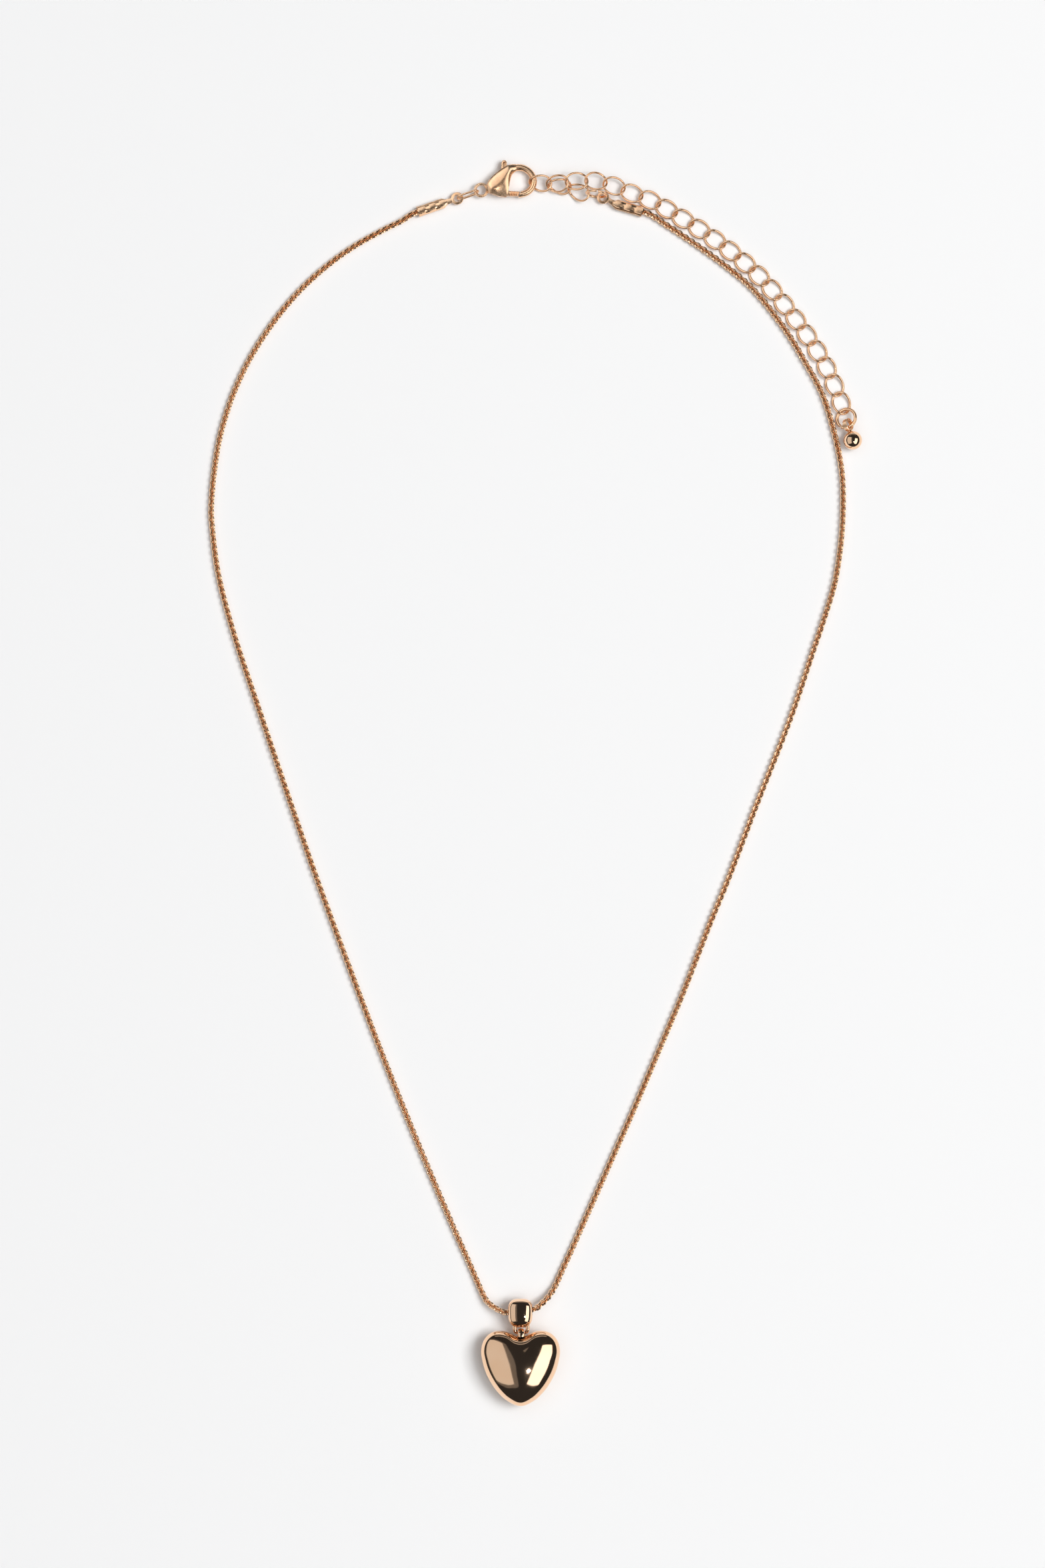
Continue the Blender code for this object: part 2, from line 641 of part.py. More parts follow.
def build_extender(curve):
    """All the extender's links, as {name: object}."""
    links = {}
    for name, (place, angles) in NEAR_LINKS.items():
        link = add_object(name, curve, LINK_GOLD)
        link.matrix_world = (Matrix.Translation(Vector(place) * MM)
                             @ turned_degrees(angles))
        links[name] = link
    route = smooth_curve(in_mm(TAIL_ROUTE))
    for k in range(TAIL_LINKS):
        place = point_along(route, LINK_PITCH * k)
        ahead = point_along(route, LINK_PITCH * k + 0.5 * LINK_PITCH)
        behind = point_along(route, max(0.0, LINK_PITCH * k - 0.5 * LINK_PITCH))
        along = (ahead - behind).normalized()
        yaw = math.atan2(along.y, along.x)
        rise = math.asin(along.z)
        name = f"extender_link_{len(links) + 1:02d}"
        link = add_object(name, curve, LINK_GOLD)
        link.matrix_world = Matrix.Translation(place) @ turned(yaw, rise)
        links[name] = link
    return links


def build_tail_end():
    ring = add_object("end_ring", open_ring("end_ring", END_RING_RADIUS, END_RING_WIRE,
                                            END_RING_GAP), LINK_GOLD)
    ring.matrix_world = Matrix.Translation(END_RING_AT) @ turned_degrees(END_RING_TURN)
    half = DROP_LOOP_HALF
    band = DROP_LOOP_BAND
    outline = [oval(half.x, half.y, 20), oval(half.x - band, half.y - band, 20)]
    loop = add_object("drop_loop", flat_plate("drop_loop", outline, DROP_LOOP_WIDTH),
                      LINK_GOLD)
    loop.matrix_world = (Matrix.Translation(DROP_LOOP_AT)
                         @ turned_degrees(DROP_LOOP_TURN))
    bm = bmesh.new()
    bmesh.ops.create_uvsphere(bm, u_segments=20, v_segments=12, radius=BALL_RADIUS)
    ball = add_mesh("drop_ball", bm, HEART_GOLD)
    ball.location = BALL_AT
    return ring, loop, ball


# ---------------------------------------------------------------- moving pieces

def link_junction(first, second):
    """Where one link hooks the next: midway between their centres."""
    return (first.matrix_world.translation + second.matrix_world.translation) / 2


def place_pivots(parts):
    """Empties on the joint axes, each carrying the pieces that turn about it."""
    root = pivot("necklace", Vector())
    for name in ("chain_left", "chain_right", "cord_end_left", "cord_end_right"):
        hang(parts[name], root)
    bail_pivot = pivot("bail_pivot", BORE_AT, root)
    ring_pivot = pivot("pendant_ring_pivot", TAB_BAR, bail_pivot)
    heart_pivot = pivot("heart_pivot", HEART_BAR, ring_pivot)
    hang(parts["bail"], bail_pivot)
    hang(parts["pendant_ring"], ring_pivot)
    hang(parts["heart"], heart_pivot)

    link_pivot = pivot("clasp_link_pivot", LINK_PIVOT_AT, root)
    clasp_pivot = pivot("clasp_pivot", CLASP_PIVOT_AT, link_pivot)
    lever_pivot = pivot("lever_pivot", in_clasp(PIVOT), clasp_pivot)
    hang(parts["clasp_link"], link_pivot)
    for name in ("clasp_body", "clasp_rivet", "clasp_spring"):
        hang(parts[name], clasp_pivot)
    hang(parts["clasp_lever"], lever_pivot)

    upper = pivot("jump_ring_pivot", JUMP_PIVOT_AT, root)
    hang(parts["extender_jump_ring"], upper)
    previous = parts["extender_jump_ring"]
    for number in range(1, len(NEAR_LINKS) + TAIL_LINKS + 1):
        link = parts[f"extender_link_{number:02d}"]
        upper = pivot(f"link_{number:02d}_pivot", link_junction(previous, link), upper)
        hang(link, upper)
        previous = link
    upper = pivot("end_ring_pivot", link_junction(previous, parts["end_ring"]), upper)
    hang(parts["end_ring"], upper)
    drop_pivot = pivot("drop_pivot", link_junction(parts["end_ring"],
                                                   parts["drop_loop"]), upper)
    hang(parts["drop_loop"], drop_pivot)
    hang(parts["drop_ball"], drop_pivot)


# ---------------------------------------------------------------- the necklace

clear_scene()
PARTS = new_collection("pendant_necklace")
PIVOT_PLACES = {}
CUTTERS = new_collection("cutters")
CHAIN_GOLD = metal("chain_gold", GOLD, 0.22)
HEART_GOLD = metal("heart_gold", DEEP_GOLD, 0.06)
BAIL_GOLD = metal("bail_gold", DEEP_GOLD, 0.08)
CORD_END_GOLD = metal("cord_end_gold", GOLD, 0.25)
CLASP_GOLD = metal("clasp_gold", GOLD, 0.22)
LINK_GOLD = metal("link_gold", GOLD, 0.18)
SPRING_STEEL = metal("spring_steel", STEEL, 0.30)

pieces = [
    build_chain("chain_left", LEFT_ROUTE),
    build_chain("chain_right", RIGHT_ROUTE),
    build_heart(),
    build_pendant_ring(),
    build_bail(),
    build_cord_end("cord_end_left", LEFT_END_AT, LEFT_END_TURN, LEFT_END_OFFSET),
    build_cord_end("cord_end_right", RIGHT_END_AT, RIGHT_END_TURN, RIGHT_END_OFFSET),
    build_clasp_body(),
    build_clasp_lever(),
    build_rivet(),
    build_clasp_spring(),
    build_clasp_link(),
]
jump_ring = add_object("extender_jump_ring",
                       open_ring("extender_jump_ring", JUMP_RING_RADIUS, JUMP_RING_WIRE,
                                 JUMP_RING_GAP), LINK_GOLD)
jump_ring.matrix_world = (Matrix.Translation(JUMP_RING_AT)
                          @ turned_degrees(JUMP_RING_TURN))
links = build_extender(wire("extender_link", link_points(), LINK_WIRE, True))
pieces += [jump_ring, *links.values(), *build_tail_end()]
bpy.context.view_layer.update()
place_pivots({piece.name: piece for piece in pieces})
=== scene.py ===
"""A fine rose-gold pendant necklace laid flat on a white table.

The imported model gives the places.  Every visible piece is rebuilt here at jewellery
scale: each run of chain as small interlinked rings, the links as round drawn wire, the
heart and bail as polished solid shapes, and the clasp and cord ends with their tool marks.
"""

import math

import bmesh
import bpy
from mathutils import Matrix, Vector


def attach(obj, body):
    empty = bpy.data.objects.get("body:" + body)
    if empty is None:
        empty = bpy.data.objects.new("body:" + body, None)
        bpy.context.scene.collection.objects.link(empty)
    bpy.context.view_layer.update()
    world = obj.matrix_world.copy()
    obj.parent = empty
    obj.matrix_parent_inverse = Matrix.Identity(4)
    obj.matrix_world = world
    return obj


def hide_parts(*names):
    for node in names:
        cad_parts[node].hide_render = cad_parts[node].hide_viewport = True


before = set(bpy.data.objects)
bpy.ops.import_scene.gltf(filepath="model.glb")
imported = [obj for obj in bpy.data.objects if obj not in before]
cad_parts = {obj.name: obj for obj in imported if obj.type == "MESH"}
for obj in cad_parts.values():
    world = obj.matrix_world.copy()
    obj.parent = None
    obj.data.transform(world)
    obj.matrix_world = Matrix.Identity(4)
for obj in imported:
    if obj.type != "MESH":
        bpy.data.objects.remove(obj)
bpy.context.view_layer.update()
MM = 0.001

# ---------------------------------------------------------------- driving sizes

# The fine chain's runs, in millimetres, from each cord end to the middle of the bail.
LEFT_ROUTE = [
    (-31.73, 86.09, 0.70), (-34.00, 85.31, 0.70), (-35.70, 84.25, 0.58),
    (-38.43, 82.90, 0.50), (-42.56, 80.60, 0.50), (-46.47, 77.85, 0.50),
    (-50.14, 74.63, 0.50), (-53.24, 71.23, 0.50), (-56.11, 67.40, 0.50),
    (-58.64, 63.27, 0.50), (-60.55, 59.27, 0.50), (-61.80, 55.92, 0.50),
    (-63.05, 51.46, 0.50), (-63.82, 46.69, 0.50), (-64.20, 42.46, 0.50),
    (-64.18, 38.96, 0.50), (-63.23, 31.38, 0.50), (-60.90, 22.41, 0.50),
    (-57.20, 11.24, 0.50), (-52.47, -2.77, 0.50), (-47.76, -16.30, 0.50),
    (-41.21, -33.99, 0.50), (-37.45, -43.77, 0.50), (-32.90, -55.01, 0.50),
    (-28.61, -65.19, 0.50), (-25.67, -71.84, 0.50), (-24.24, -75.13, 0.62),
    (-23.28, -77.17, 0.90), (-22.56, -78.09, 1.20), (-21.41, -78.82, 1.72),
    (-20.33, -79.26, 2.16), (-19.30, -79.25, 2.30), (-18.05, -79.09, 2.30),
]
RIGHT_ROUTE = [
    (-1.06, 86.00, 0.70), (1.25, 85.34, 0.70), (2.40, 84.70, 0.62), (3.98, 83.63, 0.52),
    (6.76, 81.81, 0.50), (11.86, 78.24, 0.50), (16.96, 74.00, 0.50),
    (21.55, 68.29, 0.50), (24.87, 62.93, 0.50), (27.48, 57.98, 0.50),
    (29.27, 52.00, 0.50), (30.25, 46.96, 0.50), (30.49, 42.51, 0.50),
    (30.31, 37.64, 0.50), (29.75, 32.80, 0.50), (28.74, 28.07, 0.50),
    (25.83, 19.23, 0.50), (22.36, 9.05, 0.50), (17.48, -3.38, 0.50),
    (13.40, -14.10, 0.50), (10.59, -20.99, 0.50), (6.78, -30.83, 0.50),
    (4.02, -37.44, 0.50), (-0.73, -48.64, 0.50), (-4.26, -56.61, 0.50),
    (-7.94, -64.90, 0.50), (-10.00, -69.54, 0.50), (-11.53, -72.88, 0.53),
    (-12.55, -75.17, 0.74), (-13.12, -76.19, 0.98), (-13.82, -77.15, 1.34),
    (-14.71, -77.98, 1.80), (-15.55, -78.66, 2.16), (-16.60, -78.92, 2.30),
    (-17.75, -79.05, 2.30),
]
RING_RADIUS = 0.40 * MM
RING_WIRE = 0.33 * MM
RING_PITCH = 0.55 * MM


# ---------------------------------------------------------------- materials

def gold(name, colour, shade, rough, grain, dents, depth):
    """Plated gold: its colour drifts a little, fine polishing grain varies its gloss,
    and shallow dents of a given size bend its reflections."""
    material = bpy.data.materials.new(name)
    material.use_nodes = True
    nodes, links = material.node_tree.nodes, material.node_tree.links
    shader = nodes["Principled BSDF"]
    shader.inputs["Metallic"].default_value = 1.0
    place = nodes.new("ShaderNodeTexCoord")

    def noise(scale, detail):
        node = nodes.new("ShaderNodeTexNoise")
        node.inputs["Scale"].default_value = scale
        node.inputs["Detail"].default_value = detail
        links.new(place.outputs["Object"], node.inputs["Vector"])
        return node

    tone = nodes.new("ShaderNodeValToRGB")
    tone.color_ramp.elements[0].position = 0.32
    tone.color_ramp.elements[0].color = (*shade, 1.0)
    tone.color_ramp.elements[1].position = 0.68
    tone.color_ramp.elements[1].color = (*colour, 1.0)
    links.new(noise(grain * 0.25, 2.0).outputs["Fac"], tone.inputs["Fac"])
    links.new(tone.outputs["Color"], shader.inputs["Base Color"])

    gloss = nodes.new("ShaderNodeMapRange")
    gloss.inputs["To Min"].default_value = rough * 0.6
    gloss.inputs["To Max"].default_value = rough * 1.5
    links.new(noise(grain, 5.0).outputs["Fac"], gloss.inputs["Value"])
    links.new(gloss.outputs["Result"], shader.inputs["Roughness"])

    bump = nodes.new("ShaderNodeBump")
    bump.inputs["Strength"].default_value = 0.6
    bump.inputs["Distance"].default_value = depth
    links.new(noise(dents, 2.0).outputs["Fac"], bump.inputs["Height"])
    links.new(bump.outputs["Normal"], shader.inputs["Normal"])
    return material


PEACH = (1.00, 0.68, 0.44)
ROSE = (0.95, 0.58, 0.34)
CREAM = (1.00, 0.69, 0.47)
TAN = (0.97, 0.64, 0.41)
CHAIN_GOLD = gold("chain_gold", PEACH, ROSE, 0.22, 2600, 1800, 0.03 * MM)
HEART_GOLD = gold("heart_gold", CREAM, TAN, 0.08, 900, 260, 0.012 * MM)
BAIL_GOLD = gold("bail_gold", CREAM, TAN, 0.06, 1500, 420, 0.012 * MM)
CORD_END_GOLD = gold("cord_end_gold", PEACH, ROSE, 0.24, 2200, 900, 0.03 * MM)
CLASP_GOLD = gold("clasp_gold", PEACH, ROSE, 0.26, 2400, 1100, 0.015 * MM)
LINK_GOLD = gold("link_gold", PEACH, ROSE, 0.22, 2400, 900, 0.04 * MM)
SPRING_STEEL = gold("spring_steel", (0.66, 0.66, 0.68), (0.50, 0.50, 0.52), 0.3, 3000,
                    1500, 0.01 * MM)


# ---------------------------------------------------------------- making pieces

def finish_piece(name, bm, material, slot, body, replaced, crease=40.0):
    mesh = bpy.data.meshes.new(name)
    bmesh.ops.recalc_face_normals(bm, faces=bm.faces)
    bm.to_mesh(mesh)
    bm.free()
    mesh.shade_smooth()
    mesh.set_sharp_from_angle(angle=math.radians(crease))
    mesh.materials.append(material)
    piece = bpy.data.objects.new(name, mesh)
    bpy.context.scene.collection.objects.link(piece)
    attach(piece, body)
    if slot in ("clasp_gold", "link_gold", "cord_end_gold"):
        FINDINGS.objects.link(piece)
    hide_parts(*replaced)
    return piece


def turned(yaw, rise=0.0, roll=0.0):
    """Rotation, in degrees, of a piece drawn along +X: turned about Z, its +X end
    raised, then rolled about its length."""
    yaw, rise, roll = (math.radians(angle) for angle in (yaw, rise, roll))
    return (Matrix.Rotation(yaw, 4, "Z") @ Matrix.Rotation(-rise, 4, "Y")
            @ Matrix.Rotation(roll, 4, "X"))


def at(place, *angles):
    """Matrix for a place in millimetres and angles in degrees."""
    return Matrix.Translation(Vector(place) * MM) @ (turned(*angles) if angles
                                                     else Matrix())


def smooth_curve(points, steps=10):
    """Points of a Catmull-Rom curve through the given points."""
    points = [Vector(p) for p in points]
    ends = [2 * points[0] - points[1]] + points + [2 * points[-1] - points[-2]]
    out = []
    for a, b, c, d in zip(ends, ends[1:], ends[2:], ends[3:]):
        for k in range(steps):
            t = k / steps
            out.append(0.5 * (2 * b + (c - a) * t + (2 * a - 5 * b + 4 * c - d) * t * t
                              + (3 * b - a - 3 * c + d) * t ** 3))
    out.append(points[-1])
    return out


def sweep(bm, points, radius, closed=False, sides=10, matrix=None, squash=1.0):
    """Adds a round wire along the points.  radius is a number, or one for each point;
    squash flattens the section across the wire's plane."""
    points = [Vector(p) for p in points]
    count = len(points)
    radii = radius if isinstance(radius, (list, tuple)) else [radius] * count
    matrix = matrix or Matrix()
    rings = []
    side = None
    for k, point in enumerate(points):
        before = points[k - 1] if closed or k else point
        after = points[(k + 1) % count] if closed or k < count - 1 else point
        along = (after - before).normalized()
        if side is None:
            side = along.cross(Vector((0, 0, 1)))
            if side.length < 1e-3:
                side = along.cross(Vector((1, 0, 0)))
        side = (side - along * side.dot(along)).normalized()
        up = side.cross(along)
        ring = []
        for s in range(sides):
            angle = 2 * math.pi * s / sides
            offset = (side * math.cos(angle) + up * math.sin(angle) * squash) * radii[k]
            ring.append(bm.verts.new(matrix @ (point + offset)))
        rings.append(ring)
    pairs = list(zip(rings, rings[1:] + ([rings[0]] if closed else [])))
    for one, two in pairs:
        for s in range(sides):
            t = (s + 1) % sides
            bm.faces.new((one[s], one[t], two[t], two[s]))
    if not closed:
        bm.faces.new(rings[0])
        bm.faces.new(list(reversed(rings[-1])))


def circle(radius, count, start=0.0, turn=360.0):
    """Points round a circle in the XY plane; a part turn keeps both its ends."""
    last = count if turn >= 360.0 else count - 1
    angles = [math.radians(start + turn * k / last) for k in range(count)]
    return [Vector((radius * math.cos(a), radius * math.sin(a), 0)) for a in angles]


def solid_from(bm, name="tool"):
    mesh = bpy.data.meshes.new(name)
    bmesh.ops.recalc_face_normals(bm, faces=bm.faces)
    bm.to_mesh(mesh)
    bm.free()
    obj = bpy.data.objects.new(name, mesh)
    bpy.context.scene.collection.objects.link(obj)
    return obj


def cut(base, *tools):
    """The base cut by the tools (each a bmesh), as a new bmesh."""
    target = solid_from(base, "target")
    helpers = [solid_from(tool) for tool in tools]
    for helper in helpers:
        modifier = target.modifiers.new("cut", "BOOLEAN")
        modifier.operation = "DIFFERENCE"
        modifier.solver = "EXACT"
        modifier.object = helper
    bpy.context.view_layer.update()
    depsgraph = bpy.context.evaluated_depsgraph_get()
    mesh = bpy.data.meshes.new_from_object(target.evaluated_get(depsgraph))
    result = bmesh.new()
    result.from_mesh(mesh)
    for obj in [target, *helpers]:
        bpy.data.objects.remove(obj, do_unlink=True)
    return result


def join(bm, extra):
    mesh = bpy.data.meshes.new("extra")
    extra.to_mesh(mesh)
    extra.free()
    bm.from_mesh(mesh)


def rod(radius, length, matrix, sides=32):
    bm = bmesh.new()
    bmesh.ops.create_cone(bm, cap_ends=True, segments=sides, radius1=radius,
                          radius2=radius, depth=length, matrix=matrix)
    return bm


def plate(outline, low, high, round_by=0.0):
    """An outline in millimetres extruded between two heights, its rims rounded."""
    bm = bmesh.new()
    face = bm.faces.new([bm.verts.new((x * MM, y * MM, low * MM)) for x, y in outline])
    lifted = bmesh.ops.extrude_face_region(bm, geom=[face])["geom"]
    verts = [item for item in lifted if isinstance(item, bmesh.types.BMVert)]
    bmesh.ops.translate(bm, vec=(0, 0, (high - low) * MM), verts=verts)
    if round_by:
        rims = [e for e in bm.edges
                if abs(e.verts[0].co.z - e.verts[1].co.z) < 1e-7]
        bmesh.ops.bevel(bm, geom=rims, offset=round_by * MM, segments=3,
                        profile=0.5, affect="EDGES")
    return bm


# ---------------------------------------------------------------- camera and table

def area_light(name, place, aim, size, power):
    data = bpy.data.lights.new(name, "AREA")
    data.shape = "RECTANGLE"
    data.size, data.size_y = size
    data.energy = power
    light = bpy.data.objects.new(name, data)
    bpy.context.scene.collection.objects.link(light)
    light.location = place
    light.rotation_euler = (Vector(aim) - Vector(place)).to_track_quat("-Z", "Y").to_euler()
    return light


CAMERA_HEIGHT = 0.80
VIEW_HEIGHT = 0.2353
TABLE_GAP = 0.00002
VIEW_CENTRE = Vector((-0.0176, -0.0002, 0.0))
camera_data = bpy.data.cameras.new("camera")
camera_data.sensor_fit = "VERTICAL"
camera_data.sensor_height = 24.0
camera_data.lens = 24.0 * CAMERA_HEIGHT / VIEW_HEIGHT
camera_data.clip_start = 0.01
camera = bpy.data.objects.new("camera", camera_data)
camera.location = VIEW_CENTRE + Vector((0, 0, CAMERA_HEIGHT))
bpy.context.scene.collection.objects.link(camera)
bpy.context.scene.camera = camera

bm = bmesh.new()
bmesh.ops.create_grid(bm, x_segments=1, y_segments=1, size=1.5)
floor_mesh = bpy.data.meshes.new("table")
bm.to_mesh(floor_mesh)
bm.free()
table = bpy.data.objects.new("table", floor_mesh)
bpy.context.scene.collection.objects.link(table)
paper = bpy.data.materials.new("table_white")
paper.use_nodes = True
paper.node_tree.nodes["Principled BSDF"].inputs["Base Color"].default_value = (
    0.93, 0.93, 0.93, 1.0)
paper.node_tree.nodes["Principled BSDF"].inputs["Roughness"].default_value = 0.9
floor_mesh.materials.append(paper)
table.location.z = -TABLE_GAP

world = bpy.data.worlds.new("studio")
bpy.context.scene.world = world
world.use_nodes = True
world.node_tree.nodes["Background"].inputs["Color"].default_value = (0.9, 0.93, 1.0, 1.0)
world.node_tree.nodes["Background"].inputs["Strength"].default_value = 0.03
bpy.context.scene.view_settings.view_transform = "Standard"

# A dim room: a bright softbox high on the right, a wide duller one on the left inside a
# faint wider glow, a thin strip beyond the clasp and a small lamp, all mirrored in the
# metal; a far key from the right and an overhead fill light only the table.
for name, place, aim, size, power in (
        ("right_softbox", (0.70, -0.20, 0.82), (0, -0.04, 0), (1.36, 0.70), 4.8),
        ("left_softbox", (-0.80, -0.02, 0.78), (0, 0, 0), (1.80, 1.15), 3.4),
        ("left_glow", (-0.80, -0.02, 0.85), (0, 0, 0), (2.20, 1.60), 1.3),
        ("far_strip", (0.0, 1.10, 0.28), (0, 0, 0), (1.30, 0.16), 0.2),
        ("upper_card", (-0.35, 0.45, 0.95), (-0.02, 0.09, 0), (1.10, 0.90), 3.0)):
    area_light(name, place, aim, size, power).visible_diffuse = False
area_light("lamp", (0.25, -0.33, 1.00), (0, -0.087, 0), (0.065, 0.065), 0.6)
key = area_light("key", (1.30, 0.20, 2.20), (0, 0, 0), (1.20, 1.20), 44.4)
fill = area_light("fill", (0, 0, 1.30), (0, 0, 0), (2.40, 2.40), 13.6)
key.visible_glossy = fill.visible_glossy = False
# The upper card is flagged off everything but the clasp, its links and the cord ends.
FINDINGS = bpy.data.collections.new("findings")
bpy.data.objects["upper_card"].light_linking.receiver_collection = FINDINGS


# ---------------------------------------------------------------- fine chain

def point_along(points, distance):
    """The point at a distance along a polyline, and the way it runs there."""
    for a, b in zip(points, points[1:]):
        step = (b - a).length
        if distance <= step:
            return a.lerp(b, distance / step), (b - a).normalized()
        distance -= step
    return points[-1].copy(), (points[-1] - points[-2]).normalized()


def path_length(points):
    return sum((b - a).length for a, b in zip(points, points[1:]))


def make_chain(name, route, replaced, lean):
    """Round rings, each turned across the next; lean(s) tips a pair of them."""
    points = [p * MM for p in smooth_curve(route, 8)]
    total = path_length(points)
    count = round(total / RING_PITCH)
    step = total / count
    shape = circle(RING_RADIUS, 14)
    bm = bmesh.new()
    for k in range(count):
        distance = (k + 0.5) * step
        place, along = point_along(points, distance)
        roll = math.radians((45.0 if k % 2 else -45.0) + lean(distance / total, k % 2))
        side = along.cross(Vector((0, 0, 1))).normalized()
        up = side.cross(along)
        across = side * math.cos(roll) + up * math.sin(roll)
        normal = along.cross(across)
        reach = RING_RADIUS * abs(across.z) + RING_WIRE / 2
        place.z = max(place.z, reach + 0.005 * MM)
        matrix = Matrix((along, across, normal)).transposed().to_4x4()
        matrix.translation = place
        sweep(bm, shape, RING_WIRE / 2, closed=True, sides=7, matrix=matrix)
    chain = finish_piece(name, bm, CHAIN_GOLD, "chain_gold", "necklace", [replaced])
    return chain


make_chain("fine_chain_left", LEFT_ROUTE, "chain_left",
           lambda t, odd: (8.0 if odd else 6.0) + 6.0 * math.sin(9.0 * t))
make_chain("fine_chain_right", RIGHT_ROUTE, "chain_right",
           lambda t, odd: 8.0 * math.sin(7.0 * t + 1.0))


# ---------------------------------------------------------------- links and rings

def make_wire(name, node, body, points, wire, matrix, closed=True):
    bm = bmesh.new()
    sweep(bm, points, wire / 2, closed, 12, matrix)
    return finish_piece(name, bm, LINK_GOLD, "link_gold", body, [node])


LINK_HALF = (1.66, 1.24)
LINK_TWIST = 0.30


def link_shape(steps=44):
    """An oval link's centre line, in metres, twisted so that it lies flat on its
    neighbours, as extender links do."""
    points = []
    for k in range(steps):
        angle = 2 * math.pi * k / steps
        points.append((LINK_HALF[0] * MM * math.cos(angle),
                       LINK_HALF[1] * MM * math.sin(angle),
                       -LINK_TWIST * MM * math.sin(2 * angle)))
    return points


NEAR_LINKS = [
    ((-9.23, 88.50, 1.12), (-21.0, 11.0, 32.5)),
    ((-12.01, 89.42, 1.06), (-12.9, -5.3, 39.8)),
    ((-14.94, 89.86, 1.06), (-7.7, 2.4, 29.7)),
    ((-12.36, 89.72, 1.47), (8.3, 17.2, 12.7)),
    ((-9.51, 90.06, 1.85), (1.6, -4.8, 3.6)),
    ((-6.58, 90.12, 1.50), (-9.0, -11.7, -2.6)),
    ((-3.87, 89.42, 1.17), (-19.5, -4.6, 6.1)),
    ((-1.18, 88.35, 0.86), (-21.0, -5.3, 1.2)),
    ((1.53, 87.36, 0.62), (-23.9, -6.1, 0.1)),
]
TAIL_ROUTE = [
    (4.06, 86.02, 0.48), (8.85, 83.08, 0.47), (13.52, 79.80, 0.47),
    (17.90, 76.02, 0.47), (21.63, 71.78, 0.47), (25.17, 67.01, 0.47),
    (28.06, 62.22, 0.47), (30.20, 57.00, 0.50), (30.96, 54.30, 0.50),
]
LINK_PITCH = 2.86
TAIL_LINKS = 15
NEAR_WIRE = 0.32 * MM
TAIL_WIRE = 0.36 * MM

link_places = [at(place, *angles) for place, angles in NEAR_LINKS]
tail = smooth_curve(TAIL_ROUTE)
for k in range(TAIL_LINKS):
    middle = point_along(tail, LINK_PITCH * k)[0]
    ahead = point_along(tail, LINK_PITCH * (k + 0.5))[0]
    behind = point_along(tail, max(0.0, LINK_PITCH * (k - 0.5)))[0]
    along = (ahead - behind).normalized()
    link_places.append(at(middle, math.degrees(math.atan2(along.y, along.x)),
                          math.degrees(math.asin(along.z))))
for number, matrix in enumerate(link_places, 1):
    wire = NEAR_WIRE if number <= len(NEAR_LINKS) else TAIL_WIRE
    make_wire(f"link_{number:02d}", f"extender_link_{number:02d}", f"link_{number:02d}",
              link_shape(), wire, matrix)

OPEN_RING = 1.45 * MM
make_wire("jump_ring", "extender_jump_ring", "jump_ring",
          circle(OPEN_RING, 44, 60.0, 350.0), 0.38 * MM,
          at((-6.58, 88.17, 1.61), -2.17, 28.75, 77.19), closed=False)
make_wire("tail_ring", "end_ring", "end_ring", circle(OPEN_RING, 48, -30.0, 350.0),
          0.50 * MM, at((30.92, 54.59, 0.94), -92.2, 13.1, 24.0), closed=False)

CLASP_LINK_REACH = 0.96 * MM
CLASP_LINK_END = 0.64 * MM
stadium = []
for k in range(48):
    angle = 2 * math.pi * (k + 0.5) / 48
    stadium.append((math.copysign(CLASP_LINK_REACH, math.cos(angle))
                    + CLASP_LINK_END * math.cos(angle),
                    CLASP_LINK_END * math.sin(angle), 0.0))
make_wire("clasp_end_link", "clasp_link", "clasp_link", stadium, 0.32 * MM,
          at((-25.78, 88.13, 0.86), 18.8, 4.5, 70.0))


def band_loop(bm, half_x, half_y, thick, width, matrix, count=40):
    """An oval loop of flat strip, its corners eased."""
    ease = min(thick, width) * 0.25
    section = [(-thick / 2 + ease, -width / 2), (thick / 2 - ease, -width / 2),
               (thick / 2, -width / 2 + ease), (thick / 2, width / 2 - ease),
               (thick / 2 - ease, width / 2), (-thick / 2 + ease, width / 2),
               (-thick / 2, width / 2 - ease), (-thick / 2, -width / 2 + ease)]
    rings = []
    for k in range(count):
        angle = 2 * math.pi * k / count
        rings.append([bm.verts.new(matrix @ Vector(((half_x + out) * math.cos(angle),
                                                    (half_y + out) * math.sin(angle), up)))
                      for out, up in section])
    for one, two in zip(rings, rings[1:] + rings[:1]):
        for s in range(8):
            t = (s + 1) % 8
            bm.faces.new((one[s], two[s], two[t], one[t]))


EYELET_AT = (31.15, 53.60, 1.41)
bm = bmesh.new()
band_loop(bm, 0.85 * MM, 0.72 * MM, 0.20 * MM, 0.75 * MM,
          at(EYELET_AT, -75.2, 2.9, -43.6))
finish_piece("drop_eyelet", bm, LINK_GOLD, "link_gold", "drop", ["drop_loop"])

BALL_AT = (31.86, 51.28, 1.40)
BALL_RADIUS = 1.40
bm = bmesh.new()
bmesh.ops.create_icosphere(bm, subdivisions=5, radius=BALL_RADIUS * MM, matrix=at(BALL_AT))
collar_way = (Vector(EYELET_AT) - Vector(BALL_AT)).normalized()
collar = [(Vector(BALL_AT) + collar_way * reach) * MM for reach in (1.28, 1.45, 1.66)]
sweep(bm, collar, [0.42 * MM, 0.34 * MM, 0.22 * MM], sides=20)
finish_piece("ball_bead", bm, HEART_GOLD, "heart_gold", "drop", ["drop_ball"])


# ---------------------------------------------------------------- heart

